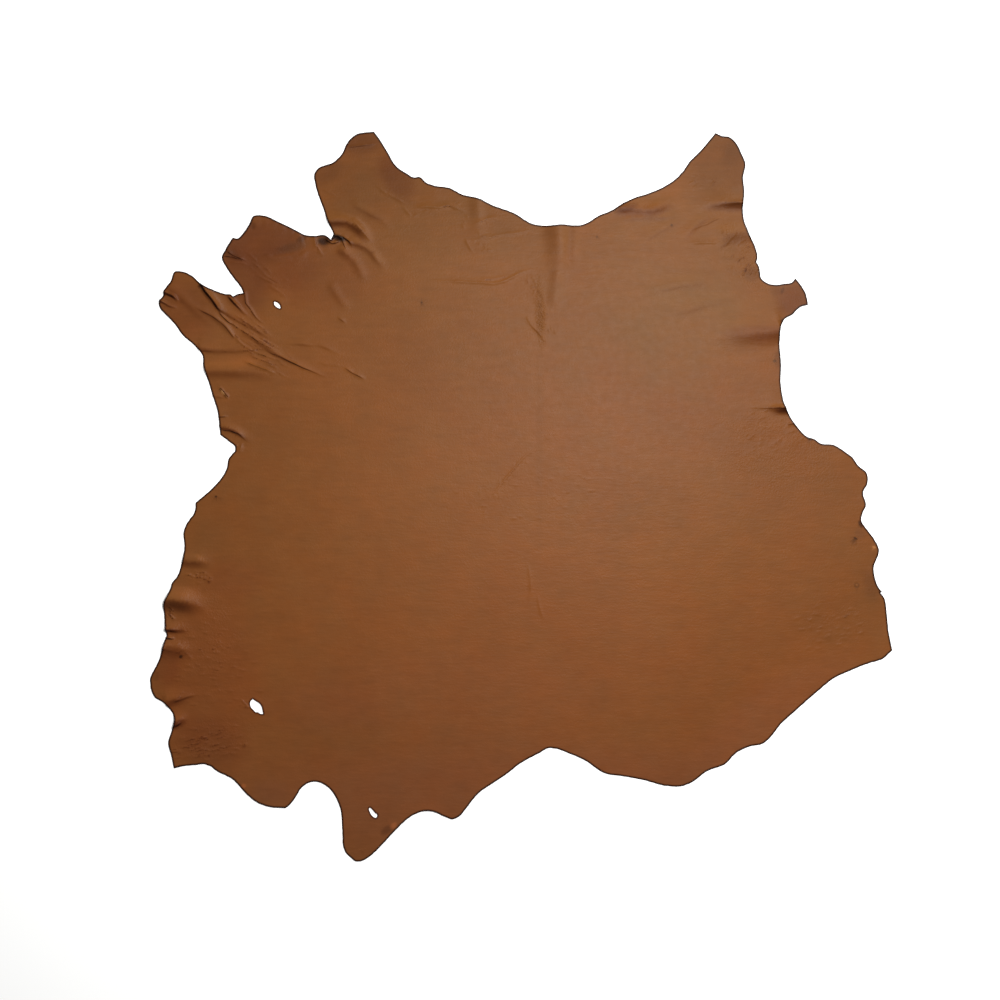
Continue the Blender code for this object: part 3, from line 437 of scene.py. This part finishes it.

# Patches of the grain side's colour. Many are the leather's own stains, scars and uneven tone; others are
# painted light: the painted shade, shadow, sheen, glow and highlights named so, and a broad painted
# brightening over the back and the right rump. For each: what the colour is multiplied by there, as one
# number or as red, green and blue, the patch's half length and half width in centimetres, its direction in
# degrees, and its middle. Each fades out to its edge.
STAINS = {
    # name: (tint, half length, half width, direction, middle)
    # painted light: a broad brightening over the back and belly
    "back": (1.11, 105, 85, 0, (2, -26)),
    "belly warmth": ((1, 0.945, 0.96), 150, 80, 0, (0, -75)),
    "neck shade": ((0.9, 0.93, 0.94), 60, 24, -8, (-32, 96)),
    "neck sheen": ((1, 1.06, 1.08), 110, 58, 0, (20, 80)),
    "neck glow": ((1.07, 1.06, 1.07), 26, 14, 0, (-14, 80)),
    "shank corner": ((0.86, 0.84, 0.9), 18, 12, -20, (-106, -84)),
    "left back glow": ((1.05, 1.03, 1.03), 16, 16, 0, (-54, 0)),
    "right neck sheen": ((0.99, 1.03, 1.12), 42, 34, 0, (62, 80)),
    "right flank warmth": ((1, 0.97, 0.88), 48, 50, 0, (82, -38)),
    "upper leg": ((0.78, 0.7, 0.82), 22, 11, 18, (-87, 88)),
    "upper leg foot": ((0.78, 0.72, 0.82), 17, 11, -60, (-95, 74)),
    "upper leg tip": ((0.74, 0.75, 0.76), 4.4, 1.9, -26, (-98, 81.9)),
    "armpit tone": ((0.92, 0.87, 0.88), 26, 16, 0, (-69, 76)),
    "upper leg spot": ((0.76, 0.76, 0.78), 1.7, 1.4, 90, (-91.1, 91.8)),
    "armpit shade": ((0.66, 0.66, 0.68), 2.6, 1.3, 22, (-74.6, 87.4)),
    # painted shadow in the armpit's hollow
    "armpit hollow painted shadow": ((0.2, 0.19, 0.22), 3.1, 2.2, 0, (-67.1, 86.7)),
    # painted shadow in the pockets between the armpit's pleats
    "armpit pleats painted shadow": ((0.1, 0.1, 0.12), 3.7, 1.5, -16, (-62.1, 87.7)),
    "leg tip": ((0.88, 0.82, 0.86), 16, 12, -50, (-114, 64)),
    "left cheek": ((0.88, 0.88, 0.9), 22, 18, 90, (-54.5, 112)),
    "left cheek top": ((0.74, 0.74, 0.82), 11, 6.5, 10, (-54, 121)),
    "left cheek edge": ((0.84, 0.83, 0.86), 9, 5, 35, (-66.5, 110)),
    "left cheek patch": ((0.78, 0.71, 0.72), 12, 7, -60, (-42, 108.4)),
    "neck scar": ((0.45, 0.45, 0.5), 0.6, 0.5, 0, (-33.8, 65.8)),
    "right neck scar": ((0.5, 0.5, 0.55), 0.6, 0.5, 0, (51.2, 92.1)),
    "withers sheen": ((0.98, 1.04, 1.05), 34, 28, 0, (54, 57)),
    "spine": ((0.96, 0.97, 0.98), 62, 1.8, 90, (6.3, 26)),
    "spine speckle": ((0.93, 0.93, 0.94), 8, 1.6, 90, (6.3, 59.8)),
    "back scar": ((0.6, 0.6, 0.62), 0.6, 0.5, 0, (25.8, 88.1)),
    "right cheek": ((0.84, 0.87, 0.93), 20, 16, 60, (68.5, 112)),
    "right cheek spot": ((0.86, 0.86, 0.88), 7, 5, 60, (72.5, 117)),
    "cheek shade": ((0.82, 0.82, 0.85), 4, 3.4, 0, (78.5, 75.5)),
    "stub": ((0.77, 0.7, 0.76), 9, 8, 0, (93.2, 66.5)),
    "stub spot": ((0.7, 0.7, 0.72), 1.9, 0.8, 72, (88.9, 69.9)),
    "stub neck": ((0.86, 0.86, 0.88), 2.8, 2.4, 0, (86.5, 69.8)),
    "shoulder notch": ((0.4, 0.4, 0.42), 1.1, 1, 0, (89, 59.6)),
    "shoulder edge": ((0.8, 0.8, 0.82), 4.4, 2, 90, (87.6, 46.6)),
    "shoulder spot": ((0.6, 0.68, 0.85), 0.9, 0.7, 0, (86.2, 45.9)),
    "brisket edge": ((0.35, 0.35, 0.38), 1.4, 0.9, -20, (98.1, 19.5)),
    "left brisket spot": ((0.3, 0.3, 0.34), 0.7, 0.55, 0, (-103.7, -0.2)),
    "belly spot": ((0.3, 0.3, 0.34), 1, 0.8, 40, (-115.6, -54.6)),
    "belly edge": ((0.8, 0.8, 0.82), 2.2, 1.8, 90, (-124.2, -61.2)),
    "left belly warmth": ((1.03, 0.92, 0.9), 44, 24, 90, (-106, -62)),
    "shank tip": ((0.95, 0.97, 1.1), 9, 6, 0, (-85.3, -101)),
    "shank fray": ((1.45, 1.3, 1.25), 1.2, 1, 0, (-94.3, -98.5)),
    "tail fray": ((1.5, 1.4, 1.35), 1.9, 1.2, 38, (-43.4, -112)),
    "tail shade": ((0.7, 0.7, 0.74), 3.2, 1.8, 40, (-45.8, -113.6)),
    "rump blue": ((1, 1.01, 1.34), 140, 30, 0, (0, -106)),
    "rump middle": ((1, 1, 1.13), 70, 22, 0, (-20, -68)),
    "right back": ((1, 1, 0.9), 36, 40, 0, (60, -16)),
    # painted light: the back's brightening carried on over the right rump
    "right rump": ((1.09, 1.07, 1.1), 50, 22, 35, (98, -66)),
    "left flank": (1.05, 32, 30, 90, (-88, -46)),
    "back right": (0.93, 30, 16, 0, (42, -4)),
    "right belly edge": ((0.35, 0.35, 0.4), 1.9, 0.9, -65, (115.4, -9.6)),
    "right belly blue": ((0.86, 0.9, 1.06), 3, 2.4, -50, (115.3, -12.8)),
    "right belly cut": ((0.25, 0.25, 0.3), 1.1, 0.5, -30, (113.7, -14.4)),
    # painted highlight on a small spot by the edge
    "right belly painted highlight": ((1.9, 2.3, 3), 0.9, 0.6, -20, (120, -17.4)),
    "right belly nick": ((0.4, 0.4, 0.45), 1.2, 0.8, 90, (119.9, -23.8)),
    "right flank shade": ((0.82, 0.85, 0.97), 7, 3.8, 105, (119.3, -30.3)),
    "ring scar": ((0.62, 0.64, 0.7), 1.3, 1.3, 0, (114.1, -30.4)),
    "ring scar middle": ((1.8, 1.9, 2.1), 0.6, 0.6, 0, (114.1, -30.2)),
    "flank scar": ((0.8, 0.8, 0.82), 1.2, 0.4, 45, (110.5, -40.8)),
    "upper leg root": ((0.89, 0.84, 0.88), 17, 11, 0, (-80, 78)),
    "shoulder glow": ((1.06, 1.05, 1.04), 30, 18, 0, (-62, 37)),
    "leg glow": ((1.08, 1.05, 1.09), 10, 7, 0, (-109, 54)),
    "shoulder sheen": ((1.15, 1.13, 1.12), 14, 2.6, 2, (-97.5, 45.8)),
    # painted shade along the right shoulder swell
    "right shoulder painted shade": ((0.9, 0.82, 0.82), 16, 3.6, 0, (81, 55.4)),
    # painted shade along the swell by the neck's right edge
    "neck edge painted shade": ((0.74, 0.66, 0.58), 5.6, 1.9, 16, (36, 98.1)),
    "right rump blue": ((1, 1, 1.2), 42, 13, 33, (86, -73)),
    "shank blue": ((1, 1, 1.09), 26, 12, 0, (-68, -72)),
    "belly redness": ((1, 0.93, 0.95), 14, 9, 0, (-97, -28)),
    # painted highlight on the knife slit's raised lip
    "knife slit lip painted highlight": ((2, 2.6, 3.6), 1.3, 0.5, -50, (-101.4, 35.2)),
    "neck edge brown": ((0.97, 0.88, 0.74), 11, 3.2, 8, (42, 97.2)),
    # painted shade on the steep side of belly wave 2
    "belly wave painted shade": ((0.88, 0.89, 0.91), 6.5, 2.6, -6, (-117.4, -37.9)),
    "belly wave glow": ((1.14, 1.12, 1.12), 7, 2.6, 0, (-114.5, -32.6)),
    # painted shade over the belly waves near the edge
    "belly painted shade": ((0.86, 0.8, 0.85), 8.5, 5.5, 80, (-120, -58.5)),
    # painted shade on the tilted flap of the upper leg
    "foot wedge painted shade": ((0.82, 0.87, 0.86), 7.5, 2.3, 15, (-77.6, 84.6)),
    # painted highlight on the crest of belly wave 1
    "belly crest painted highlight": ((1.14, 1.12, 1.12), 3.2, 1.1, -38, (-108.6, -21.4)),
}

# Where the pebble of the grain shows more: how many times as deep it is there, and the rest as for STAINS.
PEBBLED = {
    # name: (depth, half length, half width, direction, middle)
    "right brisket": (3, 28, 18, -25, (88, 14)),
    "right flank": (1.8, 14, 12, 0, (108, -44)),
    "withers": (8, 16, 2.2, 93, (6.6, 63)),
    "left shank": (3.4, 18, 10, 20, (-104, -82)),
    "left belly": (3, 26, 16, 90, (-106, -50)),
    "right cheek": (3, 20, 8, -70, (75, 82)),
}


def smooth_curve(points, step, closed):
    """Points about step apart along a curve through the given ones, which turns sharply at corners."""
    places = np.array([point[:2] for point in points]) * CM
    sharp = [CORNER in point for point in points]
    spans = len(places)
    if not closed:
        sharp[0] = sharp[-1] = True
        spans -= 1
    after = np.roll(places, -1, axis=0) - places
    length = np.linalg.norm(after, axis=1)
    onward = after / length[:, None]
    before = np.roll(onward, 1, axis=0)
    share = (length / (length + np.roll(length, 1)))[:, None]
    heading = onward * (1 - share) + before * share
    curve = []
    for i in range(spans):
        j = (i + 1) % len(places)
        leave = onward[i] if sharp[i] else heading[i]
        arrive = onward[i] if sharp[j] else heading[j]
        for t in np.arange(0, 1, 1 / max(1, round(length[i] / step))):
            curve.append(
                (2 * t**3 - 3 * t**2 + 1) * places[i]
                + (3 * t**2 - 2 * t**3) * places[j]
                + length[i] * ((t**3 - 2 * t**2 + t) * leave + (t**3 - t**2) * arrive)
            )
    if not closed:
        curve.append(places[-1])
    return np.array(curve)


def sideways(line, closed=False):
    """The unit vector to the left of a line's direction at each of its points."""
    if closed:
        heading = np.roll(line, -1, axis=0) - np.roll(line, 1, axis=0)
    else:
        heading = np.gradient(line, axis=0)
    left = np.stack([-heading[:, 1], heading[:, 0]], axis=1)
    return left / np.linalg.norm(left, axis=1)[:, None]


def turned(direction):
    """The unit vectors along and across a direction given in degrees, as a matrix's rows."""
    turn = math.radians(direction)
    return np.array([(math.cos(turn), math.sin(turn)), (-math.sin(turn), math.cos(turn))])


def wander(line, wave, seed):
    """A smooth random number from about -1 to 1 for each point along a line."""
    run = np.concatenate([[0], np.cumsum(np.linalg.norm(np.diff(line, axis=0), axis=1))])
    return np.array([2 * noise.noise(Vector((along / wave, seed, 0))) for along in run])


def wrinkle_rows():
    """A row like those of CREASES for every wrinkle in the patches."""
    draw = np.random.default_rng(SEED)
    for count, length, height, direction, half_length, half_width, middle in WRINKLE_PATCHES.values():
        for _ in range(count):
            along, across = turned(direction + draw.normal(0, STRAY))
            where = middle + np.clip(draw.normal(0, SPREAD), -1, 1) * half_length * along
            where = where + np.clip(draw.normal(0, SPREAD), -1, 1) * half_width * across
            half = length * draw.uniform(*HALF_LENGTHS) * along
            bend = length * draw.uniform(-BEND, BEND) * across
            rise = height * draw.uniform(*RISES)
            points = [tuple(where - half), tuple(where + bend), tuple(where + half)]
            yield (*WRINKLE_SIDES, rise, *WRINKLE_FADES, *points)


class Ridge:
    """One fold or crease: its crest line, and how far it raises the sheet."""

    def __init__(self, number, row, drift, rounded):
        steep, gentle, height, start, end, *points = row
        self.fades = start, end
        self.steep, self.gentle, self.rounded = steep * MM, gentle * MM, rounded
        line = smooth_curve(points, max(CREST_STEP, self.steep / 4), closed=False)
        from_middle = 0.5 + drift * wander(line, DRIFT_WAVE * self.gentle, number)
        self.line = line + sideways(line) * (self.steep * from_middle)[:, None]
        self.left = sideways(self.line)
        varied = wander(line, HEIGHT_WAVE * self.gentle, number + 0.5)
        self.peak = height * MM * (1 + UNEVEN_HEIGHT * varied)
        self.share = np.linspace(0, 1, len(line))

    def raises(self, places):
        """Which places it reaches, how far it raises each, and their lean: below 0 on the gentle side."""
        reach = max(self.steep, self.gentle)
        low, high = self.line.min(axis=0) - reach, self.line.max(axis=0) + reach
        near = np.flatnonzero(((places > low) & (places < high)).all(axis=1))
        offset = places[near][:, None] - self.line
        apart = np.linalg.norm(offset, axis=2)
        nearest = apart.argmin(axis=1)
        each = np.arange(len(near))
        on_the_left = (offset[each, nearest] * self.left[nearest]).sum(axis=1) > 0
        across = apart[each, nearest] / np.where(on_the_left, self.gentle, self.steep)
        across = np.clip(across, 0, 1)
        along = self.share[nearest]
        fade = np.clip(np.minimum(along / self.fades[0], (1 - along) / self.fades[1]), 0, 1)
        peak = self.peak[nearest] * (3 * fade**2 - 2 * fade**3)
        if self.rounded:
            rise = np.where(on_the_left, (1 - across) ** 2, 0.5 + 0.5 * np.cos(math.pi * across))
            lean = np.where(on_the_left, 2 * (1 - across), math.pi / 2 * np.sin(math.pi * across))
        else:
            rise = (1 - across) ** 3 * (1 + 3 * across)
            lean = 12 * across * (1 - across) ** 2
        return near, rise * peak, lean * peak * np.where(on_the_left, -1 / self.gentle, 1 / self.steep)

    def rows(self, step):
        """Places along its crest and down both of its sides."""
        every = max(1, round(step / np.linalg.norm(self.line[1] - self.line[0])))
        line, left = self.line[::every], self.left[::every]
        yield line
        for share in WIDE_ROWS if self.steep > WIDE else STEEP_ROWS:
            yield line - share * self.steep * left
        for share in GENTLE_ROWS:
            yield line + share * self.gentle * left


FOLD_RIDGES = [Ridge(number, row, FOLD_DRIFT, rounded=False) for number, row in enumerate(FOLDS.values())]
CREASE_RIDGES = [
    Ridge(number, row, CREASE_DRIFT, rounded=True)
    for number, row in enumerate([*CREASES.values(), *wrinkle_rows()], FIRST_CREASE)
]


def highest(ridges, places):
    """The height of the highest ridge at each place, and the most that steep and gentle sides lean there."""
    height, steep, gentle = np.zeros((3, len(places)))
    for ridge in ridges:
        near, rise, lean = ridge.raises(places)
        height[near] = np.maximum(height[near], rise)
        steep[near] = np.maximum(steep[near], lean)
        gentle[near] = np.maximum(gentle[near], -lean)
    return height, steep, gentle


def ramp(values, most, start, full):
    """Nothing below the start, rising to the most at the full value."""
    return most * np.clip((values - start) / (full - start), 0, 1)


def waves(places, height, per_metre, layer):
    return height * np.array(
        [noise.fractal(Vector((*place, layer)) * per_metre, 1.0, 2.0, 2) for place in places]
    )


def lift(places, from_rim):
    """The height of the hide's underside over the floor, and the shade and highlights painted into the colour
    along its folds and creases.
    """
    folds, fold_steep, fold_gentle = highest(FOLD_RIDGES, places)
    creases, steep, gentle = highest(CREASE_RIDGES, places)
    # painted shade on the steep sides of folds and creases, and painted highlights where their gentle sides
    # near the crest
    shade = (1 - ramp(fold_steep, *FOLD_PAINTED_SHADE)) * (1 - ramp(steep, *CREASE_PAINTED_SHADE))
    shade *= 1 + (ramp(fold_gentle, *FOLD_PAINTED_HIGHLIGHT) + ramp(gentle, *CREASE_PAINTED_HIGHLIGHT)) * shade**2
    ruffle = waves(places, *RUFFLE) * np.exp(-from_rim / RUFFLE_REACH)
    flat = SWELL[0] + waves(places, *SWELL) + np.clip(ruffle, 0, RUFFLE[0])
    return folds + creases + flat, shade


def inside(places, loop):
    """Whether each place is inside a closed loop of points."""
    x, y = places[:, 0], places[:, 1]
    odd = np.zeros(len(places), bool)
    for start, end in zip(loop, np.roll(loop, -1, axis=0)):
        if start[1] != end[1]:
            spans = (start[1] > y) != (end[1] > y)
            crossing = start[0] + (y - start[1]) * (end[0] - start[0]) / (end[1] - start[1])
            odd ^= spans & (x < crossing)
    return odd


def edge_loops():
    """The cut edge and the holes' edges, each a closed loop of places with the leather on its left."""
    rim = smooth_curve([point for stretch in OUTLINE.values() for point in stretch], RIM_STEP, closed=True)
    depth, wave, seed = CUT_WAVES
    yield rim + sideways(rim, closed=True) * (depth * wander(rim, wave, seed))[:, None]
    for (x, y), *edge in HOLES.values():
        placed = [(x + point[0], y + point[1], *point[2:]) for point in edge]
        yield smooth_curve(placed, HOLE_STEP, closed=True)


def tree_of(places):
    tree = KDTree(len(places))
    for index, place in enumerate(places):
        tree.insert((*place, 0), index)
    tree.balance()
    return tree


def how_far(places, tree):
    return np.array([tree.find((*place, 0))[2] for place in places])


def hex_grid(low, high, step):
    """Rows of places, each row set half a step from the last."""
    across = np.arange(low[0], high[0], step)
    up = np.arange(low[1], high[1], step * math.sqrt(0.75))
    x, y = np.meshgrid(across, up)
    x[1::2] += step / 2
    return np.stack([x.ravel(), y.ravel()], axis=1)


class Kept:
    """The mesh's inner places: each new one is kept only if no kept one is too near."""

    def __init__(self):
        self.places = []
        self.cells = {}

    def add(self, wanted, clear):
        for place in wanted:
            column, row = (int(c // CLEAR_OF_POINTS) for c in place)
            reach = math.ceil(clear / CLEAR_OF_POINTS)
            around = (
                self.cells.get((column + i, row + j))
                for i in range(-reach, reach + 1)
                for j in range(-reach, reach + 1)
            )
            if all(other is None or math.dist(other, place) >= clear for other in around):
                self.cells[column, row] = tuple(place)
                self.places.append(tuple(place))


def inner_places(loops, edges):
    """Places over the leather: in rows along each ridge, and closer near creases than on the flat."""

    def on_leather(places, clear):
        places = places[how_far(places, edges) >= clear]
        free = inside(places, loops[0])
        for hole in loops[1:]:
            free &= ~inside(places, hole)
        return places[free]

    kept = Kept()
    for loop in loops:
        for inwards in (BEVEL, EDGE_DYE_AND_SHADE):
            ring = loop + sideways(loop, closed=True) * inwards
            kept.add(on_leather(ring, CLEAR_IN_ROWS * inwards), CLEAR_OF_POINTS)
    for ridge in CREASE_RIDGES:
        for row in ridge.rows(CREASE_STEP):
            kept.add(on_leather(row, CLEAR_OF_RIM), CLEAR_OF_POINTS)
    for ridge in FOLD_RIDGES:
        for row in ridge.rows(FOLD_STEP):
            kept.add(on_leather(row, CLEAR_OF_RIM), CLEAR_IN_FOLDS * NEAR_STEP)
    for _, *half_sizes, direction, middle in STAINS.values():
        half_sizes = np.array(half_sizes) * CM
        step = max(LEAST_STEP, STAIN_STEP * half_sizes.min())
        if step < SMALL_STAIN:
            grid = hex_grid(-half_sizes, half_sizes, step)
            grid = grid[np.hypot(*(grid / half_sizes).T) < 1] @ turned(direction)
            kept.add(on_leather(grid + np.array(middle) * CM, CLEAR_OF_RIM), CLEAR_IN_ROWS * step)
    low, high = loops[0].min(axis=0), loops[0].max(axis=0)
    busy = tree_of(np.concatenate([ridge.line for ridge in FOLD_RIDGES + CREASE_RIDGES]))
    fine = hex_grid(low, high, NEAR_STEP)
    fine = fine[how_far(fine, busy) < NEAR]
    kept.add(on_leather(fine, CLEAR_OF_RIM), CLEAR_IN_GRID * NEAR_STEP)
    kept.add(on_leather(hex_grid(low, high, FAR_STEP), CLEAR_OF_RIM), CLEAR_IN_GRID * FAR_STEP)
    return np.array(kept.places)


def grain_side():
    """The places and triangles of the hide's grain side, seen flat."""
    loops = list(edge_loops())
    edges = tree_of(np.concatenate(loops))
    places = np.concatenate([*loops, inner_places(loops, edges)])
    spans, first = [], 0
    for loop in loops:
        spans += [(first + i, first + (i + 1) % len(loop)) for i in range(len(loop))]
        first += len(loop)
    within_the_rim = 1
    flat, _, faces, *_ = delaunay_2d_cdt(places.tolist(), spans, [], within_the_rim, SAME_PLACE)
    flat, faces = np.array([tuple(place) for place in flat]), np.array(faces)
    for hole in loops[1:]:
        faces = faces[~inside(flat[faces].mean(axis=1), hole)]
    from_holes = how_far(flat, tree_of(np.concatenate(loops[1:])))
    return flat, faces, np.minimum(how_far(flat, tree_of(loops[0])), HOLE_NARROWING * from_holes), loops[0]


def open_edges(faces):
    """The edges that only one triangle has, each in that triangle's direction."""
    ends = np.concatenate([faces[:, [0, 1]], faces[:, [1, 2]], faces[:, [2, 0]]])
    most = faces.max() + 1
    code, back = ends[:, 0] * most + ends[:, 1], ends[:, 1] * most + ends[:, 0]
    return ends[~np.isin(code, back)]


def patches(places, table):
    """What a table's patches multiply by at each place."""
    result = np.ones(len(places))
    for factor, half_length, half_width, direction, middle in table.values():
        along, across = turned(direction) @ (places / CM - middle).T
        weight = np.clip(FADING * (1 - np.hypot(along / half_length, across / half_width)), 0, 1)
        result = result * (1 + np.outer(np.subtract(factor, 1), 3 * weight**2 - 2 * weight**3))
    return result.T


def hide_mesh():
    flat, faces, from_rim, rim = grain_side()
    below, shade = lift(flat, from_rim)
    rounding = np.clip(1 - from_rim / BEVEL, 0, 1) ** 2
    above = below + THICKNESS - BEVEL_DROP * rounding
    centred = flat - (rim.min(axis=0) + rim.max(axis=0)) / 2
    places = np.concatenate([np.column_stack([centred, height]) for height in (above, below)])
    count = len(flat)
    edges = open_edges(faces)
    walls = np.column_stack([edges[:, 0] + count, edges[:, 1] + count, edges[:, 1], edges[:, 0]])
    mesh = bpy.data.meshes.new("hide")
    underside = faces[:, ::-1] + count
    mesh.from_pydata(places.tolist(), [], [*faces.tolist(), *underside.tolist(), *walls.tolist()])
    mesh.shade_smooth()
    mesh.set_sharp_from_angle(angle=SHARP_EDGE)
    part = np.repeat([0, 1, 2], [len(faces), len(faces), len(walls)])
    mesh.polygons.foreach_set("material_index", part.astype(np.int32))

    # a dark band along the cut edge and round the holes: partly the edge's darker dye, partly painted shade
    shade = shade * (1 - EDGE_DARKENING * np.clip((EDGE_DYE_AND_SHADE - from_rim) / (EDGE_DYE_AND_SHADE - BEVEL), 0, 1))
    # the vertex colour: the stain patches, painted light among them, times the painted shade and highlights;
    # its alpha is where the pebble shows more
    colours = np.column_stack([patches(flat, STAINS) * shade[:, None] ** SHADE_POWERS, patches(flat, PEBBLED)])
    dye_and_painted_light = mesh.color_attributes.new("dye_and_painted_light", "FLOAT_COLOR", "POINT")
    dye_and_painted_light.data.foreach_set("color", np.tile(colours, (2, 1)).astype(np.float32).ravel())
    return mesh


def feed(tree, socket, value):
    """Links another node's output to a socket, or sets the socket to a value."""
    if isinstance(value, bpy.types.NodeSocket):
        tree.links.new(value, socket)
    else:
        socket.default_value = value


def add_node(tree, kind, inputs, **settings):
    node = tree.nodes.new(kind)
    for name, value in settings.items():
        setattr(node, name, value)
    for name, value in inputs.items():
        feed(tree, node.inputs[name], value)
    return node


def new_material(name, roughness, specular):
    material = bpy.data.materials.new(name)
    material.use_nodes = True
    surface = material.node_tree.nodes["Principled BSDF"]
    surface.inputs["Roughness"].default_value = roughness
    surface.inputs["Specular IOR Level"].default_value = specular
    return material, material.node_tree, surface


def stretched(tree, stretch=(1, 1, 1)):
    """The piece's own coordinates in metres, stretched by these factors."""
    where = add_node(tree, "ShaderNodeTexCoord", {})
    mapping = add_node(tree, "ShaderNodeMapping", {"Vector": where.outputs["Object"], "Scale": stretch})
    return mapping.outputs["Vector"]


def noise_at(tree, where, per_metre, detail, low, high):
    """A noise texture's value, spread over the range from low to high."""
    wave = {"Vector": where, "Scale": per_metre, "Detail": detail, "Roughness": NOISE_ROUGHNESS}
    value = add_node(tree, "ShaderNodeTexNoise", wave).outputs["Fac"]
    least, most = NOISE_RANGE
    spread = {"Value": value, "From Min": least, "From Max": most, "To Min": low, "To Max": high}
    return add_node(tree, "ShaderNodeMapRange", spread).outputs["Result"]


def maths(tree, operation, a, b):
    return add_node(tree, "ShaderNodeMath", {0: a, 1: b}, operation=operation).outputs[0]


def mixed(tree, blend, factor, *colours):
    """Two colours, or a colour and a number, put together by a Mix node."""
    node = add_node(tree, "ShaderNodeMix", {"Factor": factor}, data_type="RGBA", blend_type=blend)
    for socket, colour in zip((s for s in node.inputs if s.type == "RGBA"), colours):
        feed(tree, socket, colour)
    return next(s for s in node.outputs if s.type == "RGBA")


def tinted(tree, colour, by):
    """A colour multiplied by another colour or by a number."""
    return mixed(tree, "MULTIPLY", 1, colour, by)


def in_relief(tree, surface, height):
    """Gives a surface's normal the relief of a height in millimetres."""
    bump = add_node(tree, "ShaderNodeBump", {"Height": height, "Distance": MM})
    tree.links.new(bump.outputs["Normal"], surface.inputs["Normal"])


def grain_leather():
    """The grain side: aniline-dyed full grain, with its pebble, its growth streaks and uneven dyeing, and the
    shade, sheen and highlights painted into its colour.
    """
    material, tree, surface = new_material("hide grain", 0.38, 0.06)
    here = stretched(tree)
    streaks = stretched(tree, (0.22, 1, 1))

    # the vertex colour holds the stains and the painted shade, sheen and highlights, and in its alpha where
    # the pebble shows more
    dye_and_painted_light = add_node(tree, "ShaderNodeAttribute", {}, attribute_name="dye_and_painted_light")
    colour = tinted(tree, mixed(tree, "MIX", noise_at(tree, here, 8, 4, 0, 1), *TANS), dye_and_painted_light.outputs["Color"])
    for where, per_metre, spread in (
        (here, 3, 0.04), (here, 14, 0.03), (here, 45, 0.015), (streaks, 40, 0.04), (streaks, 120, 0.03),
    ):
        colour = tinted(tree, colour, noise_at(tree, where, per_metre, 3, 1 - spread, 1 + spread))
    tree.links.new(colour, surface.inputs["Base Color"])
    tree.links.new(noise_at(tree, here, 40, 3, 0.34, 0.42), surface.inputs["Roughness"])

    clusters = maths(tree, "MULTIPLY", noise_at(tree, here, 14, 2, 0.2, 1), dye_and_painted_light.outputs["Alpha"])
    pebble = maths(tree, "MULTIPLY", noise_at(tree, here, 160, 2, 0, 0.3), clusters)
    pores = noise_at(tree, here, 700, 1, 0, 0.02)
    lines = noise_at(tree, streaks, 130, 2, 0, 0.2)
    in_relief(tree, surface, maths(tree, "ADD", maths(tree, "ADD", pebble, pores), lines))
    return material


def flesh_side():
    """The underside: pale brown split fibre, with a nap."""
    material, tree, surface = new_material("hide flesh", 0.9, 0.2)
    here = stretched(tree)
    colour = tinted(tree, FLESH, noise_at(tree, here, 7, 4, 0.85, 1.12))
    colour = tinted(tree, colour, noise_at(tree, here, 400, 3, 0.85, 1.15))
    tree.links.new(colour, surface.inputs["Base Color"])
    in_relief(tree, surface, noise_at(tree, here, 500, 3, 0, 0.4))
    return material


def cut_edge():
    """The cut edge, dyed dark, with raw fibre showing."""
    material, tree, surface = new_material("hide cut edge", 0.8, 0.3)
    fibre = noise_at(tree, stretched(tree), 300, 3, 0.7, 1.3)
    tree.links.new(tinted(tree, CUT_FIBRE, fibre), surface.inputs["Base Color"])
    return material


def leather_hide():
    hide = bpy.data.objects.new("hide", hide_mesh())
    for material in (grain_leather(), flesh_side(), cut_edge()):
        hide.data.materials.append(material)
    bpy.context.scene.collection.objects.link(hide)
    return hide


def floor_and_light():
    bpy.ops.mesh.primitive_plane_add(size=FLOOR_SIZE, location=(0, 0, -FLOOR_GAP))
    floor = bpy.context.active_object
    floor.name = "floor"
    material, _, surface = new_material("pale floor", 0.9, 0.1)
    surface.inputs["Base Color"].default_value = PALE_FLOOR
    floor.data.materials.append(material)

    world = bpy.data.worlds.new("studio")
    world.use_nodes = True
    background = world.node_tree.nodes["Background"]
    background.inputs["Color"].default_value = (1, 1, 1, 1)
    background.inputs["Strength"].default_value = SKYLIGHT
    bpy.context.scene.world = world

    for name, (place, aim, size, watts) in LIGHTS.items():
        light = bpy.data.lights.new(name, "AREA")
        light.size = size
        light.energy = watts
        lamp = bpy.data.objects.new(name, light)
        lamp.location = place
        lamp.rotation_euler = (Vector(aim) - Vector(place)).to_track_quat("-Z", "Y").to_euler()
        bpy.context.scene.collection.objects.link(lamp)


def camera():
    """Straight above, looking down, with the neck end at the top of the picture."""
    lens = bpy.data.cameras.new("camera")
    lens.lens = 85
    lens.sensor_width = 36
    above = bpy.data.objects.new("camera", lens)
    above.location = (*VIEW_MIDDLE, VIEW_WIDTH * lens.lens / lens.sensor_width)
    bpy.context.scene.collection.objects.link(above)
    bpy.context.scene.camera = above


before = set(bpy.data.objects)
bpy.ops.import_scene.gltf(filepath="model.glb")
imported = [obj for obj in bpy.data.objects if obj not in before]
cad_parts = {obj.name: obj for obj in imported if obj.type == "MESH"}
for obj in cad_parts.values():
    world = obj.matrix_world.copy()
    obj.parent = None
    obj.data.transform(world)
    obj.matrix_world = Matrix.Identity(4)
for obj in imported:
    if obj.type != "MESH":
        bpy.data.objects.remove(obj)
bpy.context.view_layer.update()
camera()
floor_and_light()
bpy.context.scene.view_settings.view_transform = "Standard"

hide = leather_hide()
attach(hide, "root")
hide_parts("leather_hide")
